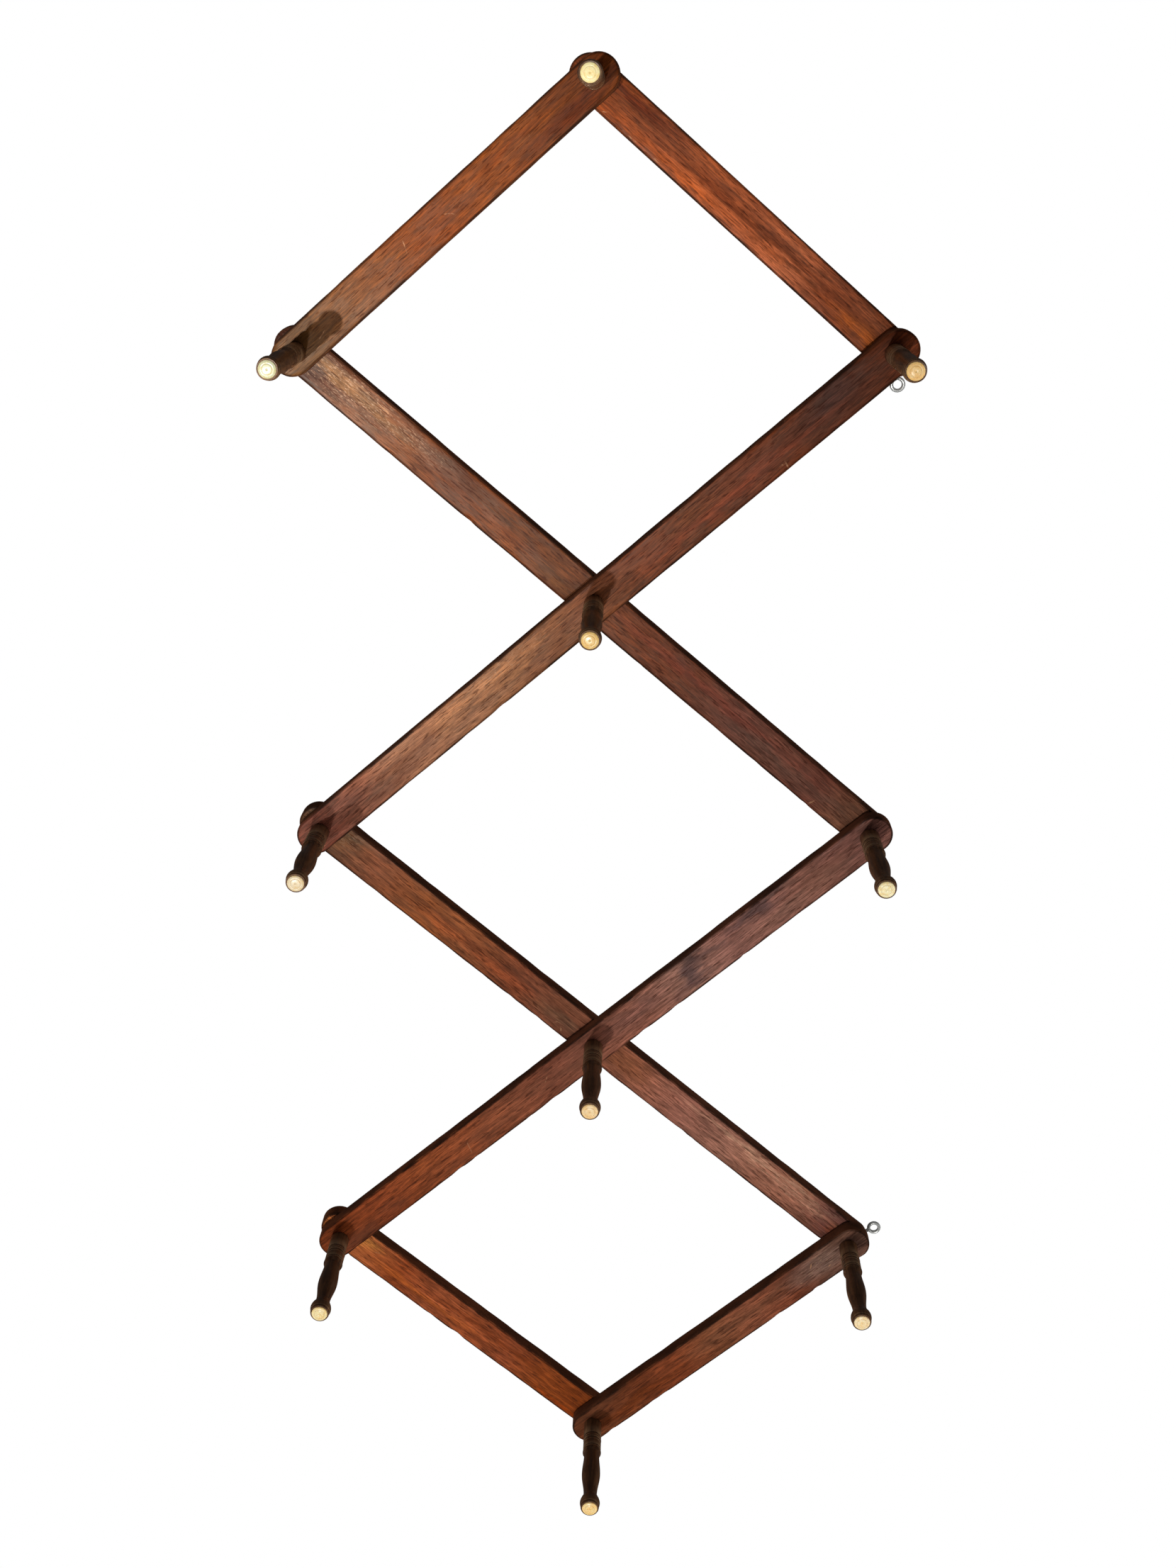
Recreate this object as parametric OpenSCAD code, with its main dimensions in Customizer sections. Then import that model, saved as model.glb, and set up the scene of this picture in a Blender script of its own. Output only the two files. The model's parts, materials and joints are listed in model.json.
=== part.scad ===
// Accordion wall rack: a lattice of flat slats in two layers, with a turned peg on every pivot.
// +Z is up, +X is to the right and +Y points into the wall. The origin is the centre of the upper
// hanging eye, halfway through the rear layer of slats.

/* [Lattice] */
// Distance between neighbouring pivots along a slat
pivot_pitch = 210; // [160:5:240]
// Slope of the slats above or below the horizontal, in degrees
slat_slope = 40.6; // [25:0.2:65]

/* [Slats] */
// Width of a slat
slat_w = 22.2; // [20.2:0.5:25.2]
// Thickness of a slat
slat_t = 9.5; // [9:0.5:12]
// Width of the chamfer round a slat's edges
slat_chamfer = 0.7; // [0.3:0.1:1.2]
// Distance from a slat's last pivot to the centre of its rounded end
slat_overhang = 3; // [0:0.5:5]
// Gap between the front and rear layers
layer_gap = 0.1; // [0.05:0.05:0.5]

/* [Pegs] */
// How far a peg's end face stands out of the front slat
peg_reach = 78.2; // [60:0.2:100]
// Radius of the plain foot of a peg
foot_r = 5.65; // [5.2:0.05:6.2]
// Radius of the belly halfway along a peg
belly_r = 5.75; // [5.2:0.05:6.5]
// Radius of the narrow neck behind the ball
neck_r = 4.15; // [3.6:0.05:4.6]
// Radius of the ball at the end of a peg
ball_r = 6.15; // [5.8:0.05:7]
// Radius of the tenon that passes through both slats
tenon_r = 4; // [3.5:0.1:4.5]
// Radial clearance of a tenon in the rear slat
tenon_play = 0.06; // [0.02:0.01:0.1]

/* [Buttons] */
// Radius of a button
button_r = 4.7; // [4.2:0.1:4.9]
// Depth that a button is let into its peg
button_depth = 3; // [2:0.5:5]
// How far a button's crown stands out of its peg
button_crown = 1.2; // [0.6:0.1:2]

/* [Fasteners] */
// Outer radius of a washer
washer_r = 7; // [6:0.5:8]
// Thickness of a washer
washer_t = 1; // [0.8:0.1:1.2]
// Radius of a screw's shank
screw_r = 1.5; // [1:0.1:1.75]
// Length of a screw's shank under the washer
screw_len = 12; // [8:1:16]

/* [Hanging eyes] */
// Radius of the hole in an eye
eye_hole_r = 2.25; // [2:0.05:2.5]
// Gap between the ring of the upper eye and the wood
eye_neck_top = 0.1; // [0.1:0.1:3]
// Gap between the ring of the lower eye and the wood
eye_neck_bottom = 1.6; // [0.1:0.1:3]
// Direction of the upper eye from its slat's end, in degrees above +X
eye_angle_top = -84; // [-95:1:-70]
// Direction of the lower eye from its slat's end, in degrees above +X
eye_angle_bottom = 27; // [10:1:30]

/* [Hidden] */
// Sizes of a hanging eye: a wire of this radius bent to a ring, with its hole reamed out flat
eye_wire_r = 1.25;
eye_ring_r = eye_hole_r + 0.75;
eye_shank_r = 1.1;
eye_shank_start = 4.5;
eye_reach_top = slat_w / 2 + eye_neck_top + eye_ring_r + eye_wire_r;
eye_reach_bottom = slat_w / 2 + eye_neck_bottom + eye_ring_r + eye_wire_r;

// Hanging eyes: the pivot at that end of the rear slat, reach and direction
EYES = [
    [2, eye_reach_top, eye_angle_top],
    [8, eye_reach_bottom, eye_angle_bottom]
];

// Lattice: half a diamond across, half a diamond down, and the apex pivot
grid_x = pivot_pitch * cos(slat_slope);
grid_z = pivot_pitch * sin(slat_slope);
overhang_x = slat_overhang * cos(slat_slope);
overhang_z = -slat_overhang * sin(slat_slope);
apex_x = -grid_x - overhang_x - eye_reach_top * cos(eye_angle_top);
apex_z = grid_z - overhang_z - eye_reach_top * sin(eye_angle_top);

// Layers, from the wall forwards
rear_back_y = slat_t / 2;
front_mid_y = -slat_t - layer_gap;
front_face_y = front_mid_y - slat_t / 2;

// Pivots: name, place across and place down in half diamonds
PIVOTS = [
    ["apex", 0, 0],
    ["left_top", -1, 1],
    ["right_top", 1, 1],
    ["centre_upper", 0, 2],
    ["left_middle", -1, 3],
    ["right_middle", 1, 3],
    ["centre_lower", 0, 4],
    ["left_bottom", -1, 5],
    ["right_bottom", 1, 5],
    ["base", 0, 6]
];

// Slats: name and pivots from the left end to the right. The pegs turn with the front slats.
FRONT_SLATS = [
    ["top", [1, 0]],
    ["upper", [4, 3, 2]],
    ["lower", [7, 6, 5]],
    ["bottom", [9, 8]]
];
REAR_SLATS = [
    ["top", [0, 2]],
    ["upper", [1, 3, 5]],
    ["lower", [4, 6, 8]],
    ["bottom", [7, 9]]
];

// Sizes of the hidden fasteners
head_r = 3.5;
head_h = 1.6;
head_slot_w = 0.9;
head_slot_depth = 0.8;
washer_gap = 0.05;
recess_r = washer_r + 0.6;
recess_depth = washer_t + head_h + 0.1;
tenon_end_y = rear_back_y - recess_depth + washer_gap;

// Heights along a peg out of the front slat, drawn for a peg of this reach
peg_drawn_reach = 78.2;
collar_start_z = 25.4;
collar_z = 27.2;
waist_z = 29.8;
belly_z = 47.4;
neck_z = 65.6;
ball_z = 73.4;
rim_z = 77.6;

// Grooves round a peg's foot: height, depth and half width
GROOVES = [
    [13.7, 0.45, 0.9],
    [18, 0.45, 0.9],
    [24.6, 0.5, 0.7]
];

// Radii of a peg's collar, waist and end rim
collar_r = foot_r + 0.2;
waist_r = foot_r - 0.8;
rim_r = button_r + 0.6;

// Steps in a curved stretch of a peg
SWELL_STEPS = 8;

$fn = 48;

function pivot_x(i) = apex_x + PIVOTS[i][1] * grid_x;
function pivot_z(i) = apex_z - PIVOTS[i][2] * grid_z;

// Points of a half-cosine swell from radius ra at za to radius rb at zb, without its last point
function swell(za, ra, zb, rb) = [
    for (k = [0:SWELL_STEPS - 1])
        let (t = k / SWELL_STEPS)
        [ra + (rb - ra) * (1 - cos(180 * t)) / 2, za + (zb - za) * t]
];

// Points of a shallow V groove round a shaft
function groove(z, r, depth, half) = [[r, z - half], [r - depth, z], [r, z + half]];

// Places children, made along +X from the origin, on a slat's first pivot and at its slope
module along_slat(pivots, slope) {
    translate([pivot_x(pivots[0]), 0, pivot_z(pivots[0])])
        rotate([0, -slope, 0])
            children();
}

// Places a child on each pivot of a slat that is not yet turned to its slope
module at_pitches(pivots) {
    for (k = [0:len(pivots) - 1])
        translate([k * pivot_pitch, 0, 0])
            children();
}

// One slat along +X with its first pivot at the origin, its edges chamfered and its ends rounded
module slat_blank(pitches) {
    h = slat_t / 2;
    w = slat_w / 2;
    e = slat_chamfer;
    ends = [-slat_overhang, pitches * pivot_pitch + slat_overhang];
    side = [[h, e - w], [h, w - e], [h - e, w], [e - h, w]];
    revolved = [[0, -h], [w - e, -h], [w, e - h], [w, h - e], [w - e, h], [0, h]];
    translate([ends[0], 0, 0])
        rotate([90, 0, 90])
            linear_extrude(height = ends[1] - ends[0])
                polygon(concat(side, -side));
    for (x = ends)
        translate([x, 0, 0])
            rotate([90, 0, 0])
                rotate_extrude()
                    polygon(revolved);
}

// Round cutter along Y, centred on the layer that it passes through
module bore(r) {
    rotate([90, 0, 0])
        cylinder(r = r, h = slat_t * 2, center = true);
}

// A front slat: its bores hold the glued tenons
module front_slat(pivots) {
    color("saddlebrown")
        translate([0, front_mid_y, 0])
            along_slat(pivots, slat_slope)
                difference() {
                    slat_blank(len(pivots) - 1);
                    at_pitches(pivots)
                        bore(tenon_r);
                }
}

// Places a child that lies along +X so that it leaves a rear slat's rounded end at an eye's angle
module at_eye(eye) {
    translate([pivot_x(eye[0]) + overhang_x, 0, pivot_z(eye[0]) + overhang_z])
        rotate([0, -eye[2], 0])
            children();
}

// The shank of an eye along +X, screwed radially into a slat's rounded end
module eye_shank(len) {
    translate([eye_shank_start, 0, 0])
        rotate([0, 90, 0])
            cylinder(r = eye_shank_r, h = len);
}

// A rear slat: its bores turn on the tenons, each with a recess behind for the washer and screw
// head, and a slat that carries a hanging eye has the pilot hole for its shank
module rear_slat(pivots) {
    color("sienna")
        difference() {
            along_slat(pivots, -slat_slope)
                difference() {
                    slat_blank(len(pivots) - 1);
                    at_pitches(pivots) {
                        bore(tenon_r + tenon_play);
                        translate([0, rear_back_y - recess_depth, 0])
                            rotate([-90, 0, 0])
                                cylinder(r = recess_r, h = slat_t);
                    }
                }
            for (eye = EYES)
                if (eye[0] == pivots[len(pivots) - 1])
                    at_eye(eye)
                        eye_shank(slat_w);
        }
}

// A turned peg: foot with three grooves, rounded collar, long belly, neck and ball, with its tenon
// behind, a pocket for the button in front and a pilot hole for the screw
module peg(i) {
    k = peg_reach / peg_drawn_reach;
    tenon_len = tenon_end_y - front_face_y;
    outline = concat(
        [[0, -tenon_len], [tenon_r, -tenon_len], [tenon_r, 0], [foot_r, 0]],
        [for (g = GROOVES) for (point = groove(g[0] * k, foot_r, g[1], g[2])) point],
        swell(collar_start_z * k, foot_r, collar_z * k, collar_r),
        swell(collar_z * k, collar_r, waist_z * k, waist_r),
        swell(waist_z * k, waist_r, belly_z * k, belly_r),
        swell(belly_z * k, belly_r, neck_z * k, neck_r),
        swell(neck_z * k, neck_r, ball_z * k, ball_r),
        swell(ball_z * k, ball_r, rim_z * k, rim_r),
        [[rim_r, peg_reach], [0, peg_reach]]
    );
    color("#2d1b12")
        translate([pivot_x(i), front_face_y, pivot_z(i)])
            rotate([90, 0, 0])
                difference() {
                    rotate_extrude()
                        polygon(outline);
                    translate([0, 0, peg_reach - button_depth])
                        cylinder(r = button_r, h = button_depth * 2);
                    translate([0, 0, -tenon_len - 1])
                        cylinder(r = screw_r, h = screw_len + 1);
                }
}

// A button: a short plug with a domed crown
module button(i) {
    crown_steps = 6;
    crown = [
        for (s = [0:crown_steps])
            let (t = 90 * s / crown_steps)
            [button_r * cos(t), button_depth + button_crown * sin(t)]
    ];
    color("#f3e2b0")
        translate([pivot_x(i), front_face_y - peg_reach + button_depth, pivot_z(i)])
            rotate([90, 0, 0])
                rotate_extrude()
                    polygon(concat([[0, 0], [button_r, 0]], crown));
}

// A washer on the end of a tenon
module washer(i) {
    translate([pivot_x(i), tenon_end_y, pivot_z(i)])
        rotate([-90, 0, 0])
            difference() {
                cylinder(r = washer_r, h = washer_t);
                translate([0, 0, -1])
                    cylinder(r = screw_r + 0.1, h = washer_t + 2);
            }
}

// A slotted pan-head screw through a washer into a tenon
module screw(i) {
    translate([pivot_x(i), tenon_end_y + washer_t, pivot_z(i)])
        rotate([-90, 0, 0])
            difference() {
                union() {
                    translate([0, 0, -washer_t - screw_len])
                        cylinder(r = screw_r, h = washer_t + screw_len + head_h / 2);
                    cylinder(r1 = head_r, r2 = head_r - 0.5, h = head_h);
                }
                translate([-head_r * 2, -head_slot_w / 2, head_h - head_slot_depth])
                    cube([head_r * 4, head_slot_w, head_h]);
            }
}

// The washers that turn with one front slat
module washers(pivots) {
    color("#8c8474")
        for (i = pivots)
            washer(i);
}

// The screws that turn with one front slat
module screws(pivots) {
    color("#b4a67c")
        for (i = pivots)
            screw(i);
}

// A hanging eye: a wire ring with a plain round hole, and its shank
module hanging_eye(eye) {
    color("#c9c9c4")
        at_eye(eye)
            difference() {
                union() {
                    eye_shank(eye[1] - eye_ring_r - eye_shank_start);
                    translate([eye[1], 0, 0])
                        rotate([90, 0, 0])
                            rotate_extrude()
                                translate([eye_ring_r, 0])
                                    circle(r = eye_wire_r, $fn = 32);
                }
                translate([eye[1], 0, 0])
                    bore(eye_hole_r);
            }
}

for (s = FRONT_SLATS)
    front_slat(s[1]);
for (s = REAR_SLATS)
    rear_slat(s[1]);
for (i = [0:len(PIVOTS) - 1])
    peg(i);
for (i = [0:len(PIVOTS) - 1])
    button(i);
for (s = FRONT_SLATS)
    washers(s[1]);
for (s = FRONT_SLATS)
    screws(s[1]);
hanging_eye(EYES[0]);  // hanging_eye_top
hanging_eye(EYES[1]);  // hanging_eye_bottom
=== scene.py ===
"""The looks of an accordion wall rack: stained slats in two layers, turned pegs with ivory buttons,
hanging eyes, and the washers and screws behind. Lengths are in metres, unless a comment says millimetres."""

import json
import math
import random

import bmesh
import bpy
import numpy as np
from mathutils import Matrix, Vector, noise


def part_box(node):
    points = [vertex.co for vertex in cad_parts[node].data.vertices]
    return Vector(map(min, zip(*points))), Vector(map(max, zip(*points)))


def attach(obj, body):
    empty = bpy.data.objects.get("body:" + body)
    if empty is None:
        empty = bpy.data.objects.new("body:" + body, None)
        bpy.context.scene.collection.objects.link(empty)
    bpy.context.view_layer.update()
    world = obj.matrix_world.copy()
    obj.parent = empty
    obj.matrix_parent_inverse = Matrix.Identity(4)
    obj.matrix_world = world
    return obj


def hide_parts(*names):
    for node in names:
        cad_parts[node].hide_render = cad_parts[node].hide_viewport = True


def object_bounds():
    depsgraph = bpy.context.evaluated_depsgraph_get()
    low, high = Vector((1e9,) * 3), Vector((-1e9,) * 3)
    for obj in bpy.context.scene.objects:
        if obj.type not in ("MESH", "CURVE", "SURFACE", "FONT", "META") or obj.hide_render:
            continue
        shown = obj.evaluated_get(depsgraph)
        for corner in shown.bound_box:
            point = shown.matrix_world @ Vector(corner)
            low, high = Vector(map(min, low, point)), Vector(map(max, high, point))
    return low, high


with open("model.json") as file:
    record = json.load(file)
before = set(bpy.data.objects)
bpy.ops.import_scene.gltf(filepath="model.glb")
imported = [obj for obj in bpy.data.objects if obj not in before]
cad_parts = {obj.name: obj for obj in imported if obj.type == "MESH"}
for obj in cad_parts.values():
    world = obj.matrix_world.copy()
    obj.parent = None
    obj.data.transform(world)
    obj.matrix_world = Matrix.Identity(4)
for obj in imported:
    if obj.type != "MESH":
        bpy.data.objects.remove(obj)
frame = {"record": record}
cad_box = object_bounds()

MM = 0.001
LATHE_STEPS = 96
RECORD = frame["record"]
BODY_OF = {node: body for body, nodes in RECORD["behaviour"]["bodies"].items() for node in nodes}
MOUNTS = {mount["name"]: mount for mount in RECORD["mounts"]}

PEGS = [
    "apex", "left_top", "right_top", "centre_upper", "left_middle",
    "right_middle", "centre_lower", "left_bottom", "right_bottom", "base",
]

# Pivots of each slat from its left end to its right end
SLAT_PIVOTS = {
    "front_slat_top": ["left_top", "apex"],
    "front_slat_upper": ["left_middle", "centre_upper", "right_top"],
    "front_slat_lower": ["left_bottom", "centre_lower", "right_middle"],
    "front_slat_bottom": ["base", "right_bottom"],
    "rear_slat_top": ["apex", "right_top"],
    "rear_slat_upper": ["left_top", "centre_upper", "right_middle"],
    "rear_slat_lower": ["left_middle", "centre_lower", "right_bottom"],
    "rear_slat_bottom": ["left_bottom", "base"],
}

# Hanging eyes and the rear slat and pivot that each one is screwed into
EYE_SLATS = {
    "hanging_eye_top": ("rear_slat_top", "right_top"),
    "hanging_eye_bottom": ("rear_slat_lower", "right_bottom"),
}

# Sizes that the CAD nodes share with the pieces built here
TENON_R = 4.0 * MM
TENON_PLAY = 0.06 * MM
RECESS_R = 7.6 * MM
RECESS_DEPTH = 2.7 * MM
WASHER_T = 1.0 * MM
WASHER_R = 7.0 * MM
WASHER_PLAY = 0.1 * MM
SCREW_R = 1.5 * MM
SCREW_TIP = 11.6 * MM
SCREW_TAPER = 10.4 * MM
HEAD_R = 3.5 * MM
HEAD_HEIGHT = 1.6 * MM
HEAD_EDGE = 0.5 * MM
HEAD_CROWN = 1.1 * MM
HEAD_ROUND = 0.9 * MM
SCREW_SLOT = (9.0 * MM, 0.9 * MM, 1.6 * MM)
EYE_RING_OUTER = 4.25 * MM
EYE_WIRE_R = 1.25 * MM
EYE_SHANK_R = 1.1 * MM
EYE_SHANK_START = 4.5 * MM
EYE_OPENING = math.radians(16.0)
EYE_TURN_STEPS = 72

# Stain of each slat, with places as shares of its length from its left end, and sizes in millimetres.
# stops: (place, colour). figure: depth of the long streaks. cloud: colour of the broad clouds.
# patches: (place, offset across, half length, half width, turn in degrees, colour, strength).
# glints: pale flecks of painted highlight on the varnish, as (place, offset across, half length, half width,
# strength).
# scratches: (place, offset across, length, width, turn in degrees).
STAINS = {
    "front_slat_top": {
        "stops": [
            (0.1, (79, 49, 22)), (0.25, (97, 56, 29)), (0.37, (96, 47, 17)), (0.5, (99, 45, 12)),
            (0.63, (105, 51, 16)), (0.75, (107, 53, 18)), (0.86, (86, 39, 10)),
        ],
        "figure": 0.8,
        "cloud": (78, 29, 3),
        "patches": [
            (0.36, 3, 3, 9, 64, (122, 64, 7), 0.25),
            (0.45, -4, 2, 8, 58, (123, 53, 3), 0.25),
            (0.83, -6, 34, 4, 3, (62, 13, 1), 0.55),
            (0.72, 4, 22, 2.5, 0, (84, 30, 1), 0.5),
        ],
        "scratches": [(0.4, 2, 7, 0.5, 68), (0.52, -1, 5, 0.4, -40), (0.13, -3, 6, 0.5, 20)],
    },
    "front_slat_upper": {
        "stops": [
            (0.05, (100, 52, 39)), (0.12, (117, 70, 51)), (0.2, (152, 105, 77)), (0.28, (129, 84, 57)),
            (0.36, (121, 79, 51)), (0.43, (107, 66, 40)), (0.59, (102, 49, 25)), (0.66, (93, 49, 28)),
            (0.74, (97, 50, 32)), (0.81, (103, 46, 19)), (0.88, (91, 44, 26)), (0.93, (85, 37, 16)),
        ],
        "figure": 1.0,
        "cloud": (92, 44, 26),
        "patches": [
            (0.885, 4, 13, 5, 0, (63, 45, 45), 0.7),
            (0.87, 1, 40, 9, 0, (62, 36, 28), 0.75),
            (0.16, -2, 30, 5, 8, (84, 54, 40), 0.6),
            (0.08, 4, 20, 4, -10, (74, 40, 32), 0.5),
            (0.3, 3, 46, 5, 0, (150, 99, 64), 0.45),
            (0.73, -2, 60, 3, 0, (119, 52, 31), 0.5),
        ],
        "glints": [(0.36, 6, 40, 4, 0.35)],
        "scratches": [(0.79, -8.2, 3.4, 0.8, 70), (0.785, -7, 3.6, 0.6, -10), (0.66, 9.6, 9, 0.7, 0)],
    },
    "front_slat_lower": {
        "stops": [
            (0.05, (111, 50, 22)), (0.12, (121, 56, 28)), (0.2, (132, 65, 33)), (0.28, (136, 69, 39)),
            (0.36, (125, 69, 46)), (0.43, (117, 65, 47)), (0.59, (136, 85, 69)), (0.66, (150, 106, 91)),
            (0.74, (133, 88, 77)), (0.81, (133, 88, 76)), (0.88, (123, 79, 66)), (0.93, (106, 67, 58)),
        ],
        "figure": 1.0,
        "cloud": (105, 65, 48),
        "patches": [
            (0.675, 1, 10, 7, 62, (45, 41, 48), 0.75),
            (0.7, 7, 12, 3.5, -25, (45, 39, 44), 0.6),
            (0.655, -6, 12, 3.0, 0, (62, 50, 57), 0.45),
            (0.79, 6, 17, 3.4, -4, (59, 46, 50), 0.7),
            (0.585, 1, 24, 5, 0, (93, 65, 61), 0.4),
            (0.84, -4, 34, 5, 0, (120, 84, 70), 0.4),
        ],
        "scratches": [(0.27, -3, 8, 0.5, 70), (0.42, 2, 5, 0.4, 30)],
    },
    "front_slat_bottom": {
        "stops": [
            (0.1, (96, 51, 29)), (0.25, (99, 48, 25)), (0.37, (117, 57, 31)), (0.5, (120, 70, 45)),
            (0.63, (132, 75, 52)), (0.75, (113, 58, 37)), (0.86, (102, 71, 58)),
        ],
        "figure": 0.9,
        "cloud": (90, 55, 38),
        "patches": [
            (0.84, 2, 26, 6, 0, (119, 93, 83), 0.6),
            (0.6, 2, 40, 4, 0, (106, 67, 47), 0.5),
            (0.2, -3, 36, 3, 0, (114, 51, 17), 0.5),
        ],
        "glints": [(0.86, 3, 14, 6, 0.35)],
        "scratches": [(0.83, 4, 3.5, 0.7, 40), (0.78, -2, 2.6, 0.7, -50), (0.87, -3, 2.4, 0.6, 10)],
    },
    "rear_slat_top": {
        "stops": [
            (0.1, (105, 47, 15)), (0.25, (114, 56, 30)), (0.37, (139, 68, 33)), (0.5, (140, 70, 38)),
            (0.63, (160, 85, 51)), (0.75, (116, 56, 30)), (0.86, (125, 63, 35)),
        ],
        "figure": 1.3,
        "cloud": (104, 38, 11),
        "patches": [
            (0.52, 1, 50, 1.6, 1, (87, 35, 11), 0.8),
            (0.66, -3, 40, 1.4, -1, (102, 45, 16), 0.7),
            (0.16, 6, 26, 3, 2, (62, 13, 2), 0.7),
            (0.9, -3, 24, 4, 0, (164, 80, 20), 0.6),
            (0.3, -6, 40, 2, 0, (147, 65, 17), 0.5),
        ],
        "scratches": [(0.2, -9.4, 5, 0.9, 0), (0.27, -9.5, 4, 0.8, 0), (0.12, -8, 3, 0.7, 30)],
    },
    "rear_slat_upper": {
        "stops": [
            (0.05, (47, 21, 14)), (0.12, (98, 60, 39)), (0.2, (96, 52, 26)), (0.28, (81, 37, 12)),
            (0.36, (109, 54, 20)), (0.43, (94, 50, 24)), (0.59, (101, 50, 28)), (0.66, (97, 50, 32)),
            (0.74, (104, 60, 48)), (0.81, (97, 55, 42)), (0.88, (95, 50, 38)), (0.93, (109, 68, 49)),
        ],
        "figure": 1.0,
        "cloud": (84, 42, 21),
        "patches": [
            # The pale cream streak at the left end is a painted highlight on the varnish
            (0.11, 3, 34, 3.4, -3, (116, 81, 48), 0.6),
            (0.36, 4, 30, 4.6, 3, (63, 28, 3), 0.75),
            (0.26, 5, 24, 3, 0, (41, 17, 3), 0.6),
            (0.46, -5, 22, 4, 0, (86, 49, 10), 0.5),
            (0.7, 3, 60, 3, 0, (119, 53, 40), 0.45),
            (0.82, -3, 40, 5, 0, (94, 63, 52), 0.5),
        ],
        "glints": [(0.1, 2, 30, 8, 0.75), (0.2, 3, 20, 5, 0.4)],
        "scratches": [(0.885, -7, 3.2, 0.9, 65), (0.05, 1, 12, 0.8, 0), (0.15, 6, 14, 0.6, -2)],
    },
    "rear_slat_lower": {
        "stops": [
            (0.05, (89, 56, 33)), (0.12, (122, 69, 45)), (0.2, (137, 74, 37)), (0.28, (130, 72, 41)),
            (0.36, (114, 59, 36)), (0.43, (115, 66, 46)), (0.59, (142, 87, 67)), (0.66, (137, 87, 72)),
            (0.74, (145, 98, 81)), (0.81, (140, 90, 71)), (0.88, (139, 89, 70)), (0.93, (103, 65, 58)),
        ],
        "figure": 1.1,
        "cloud": (100, 59, 37),
        "patches": [
            (0.555, 1, 18, 8, 0, (132, 73, 41), 0.55),
            (0.04, 5, 20, 5, 0, (63, 52, 35), 0.6),
            (0.44, -2, 16, 4, 0, (91, 69, 51), 0.6),
            # These two pale pink streaks near the right end are painted highlight
            (0.86, 2, 36, 2, 0, (174, 122, 99), 0.55),
            (0.78, 6, 50, 1.4, 0, (199, 151, 123), 0.5),
            (0.96, -1, 16, 6, 0, (120, 55, 27), 0.6),
            (0.3, -2, 50, 3, 0, (150, 66, 29), 0.3),
        ],
        "glints": [(0.85, 3, 34, 6, 0.6), (0.05, 4, 16, 6, 0.35)],
        "scratches": [(0.445, -6, 4, 0.8, 40), (0.455, -7.4, 3, 0.6, -30), (0.86, 9, 20, 0.7, 0)],
    },
    "rear_slat_bottom": {
        "stops": [
            (0.1, (181, 101, 56)), (0.25, (130, 60, 27)), (0.37, (142, 73, 42)), (0.5, (148, 74, 40)),
            (0.63, (137, 68, 39)), (0.75, (138, 67, 28)), (0.86, (132, 62, 23)),
        ],
        "figure": 1.1,
        "cloud": (119, 52, 14),
        "patches": [
            (0.08, 2, 16, 5, 10, (212, 143, 67), 0.5),
            (0.55, 3, 50, 2, 0, (104, 43, 16), 0.6),
            (0.9, -8, 30, 1.6, 0, (190, 74, 3), 0.6),
            (0.35, -3, 40, 2.4, 0, (156, 77, 26), 0.5),
        ],
        "scratches": [(0.07, 3, 6, 0.6, 50), (0.17, 2, 4, 0.5, 20), (0.95, 4, 3, 0.6, 70)],
    },
}

# Ivory of each button, deeper at the upper left, where the light is strongest
IVORY = {
    "apex": (218, 207, 156), "left_top": (160, 163, 136), "right_top": (240, 204, 140),
    "centre_upper": (214, 184, 122), "left_middle": (204, 190, 160), "right_middle": (252, 240, 196),
    "centre_lower": (250, 220, 170), "left_bottom": (254, 234, 180), "right_bottom": (253, 232, 190),
    "base": (254, 222, 158),
}

# Colours of the slats' marks
STREAK = (92, 38, 20)
# Pale flecks of painted highlight: glints on the varnish
PAINTED_GLINT = (164, 130, 104)
OPEN_PORE = (52, 22, 13)
SCRATCHED = (172, 126, 92)
ARRIS_DIRT = (32, 18, 12)
# Paler arrises: partly rubbed wood, partly painted highlight along the edges
ARRIS_WEAR_AND_HIGHLIGHT = (178, 108, 66)
# Painted shade on the slats' side faces, from its darker to its paler tone
PAINTED_SIDE_SHADE = ((58, 34, 23), (88, 50, 32))
PALE_SPECK = (150, 112, 84)

# Colours of the pegs: stain from its darkest grain to its palest, then their marks
PEG_STAIN = [(0.30, (56, 35, 22)), (0.47, (74, 47, 29)), (0.60, (88, 57, 35)), (0.75, (106, 70, 44))]
PEG_PATCH = (104, 78, 54)
PEG_RING = (34, 21, 15)
PEG_PORE = (26, 16, 11)
# Paler wood of the pegs: rubbed on the end rim and ball, and painted highlight on the lips of the grooves
PEG_WEAR_AND_HIGHLIGHT = (168, 134, 100)

# Marks of the buttons, and the share of its tint that each channel keeps in a button's deeper mottles
IVORY_FLECK = (190, 150, 98)
IVORY_DIRT = (182, 142, 88)
IVORY_DEEP = (0.98, 0.92, 0.80)

# Clean and tarnished colours of the metals, and their scratches
EYE_PLATE = ((206, 208, 206), (112, 104, 92))
WASHER_PLATE = ((150, 142, 126), (84, 66, 48))
SCREW_PLATE = ((186, 170, 128), (92, 72, 50))
BRIGHT_SCRATCH = (236, 236, 230)

PAPER = (255, 255, 255)


def linear(colour):
    """An 8-bit display colour as the linear RGBA that shaders take."""
    channels = [c / 255 for c in colour]
    return [c / 12.92 if c <= 0.04045 else ((c + 0.055) / 1.055) ** 2.4 for c in channels] + [1.0]


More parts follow.
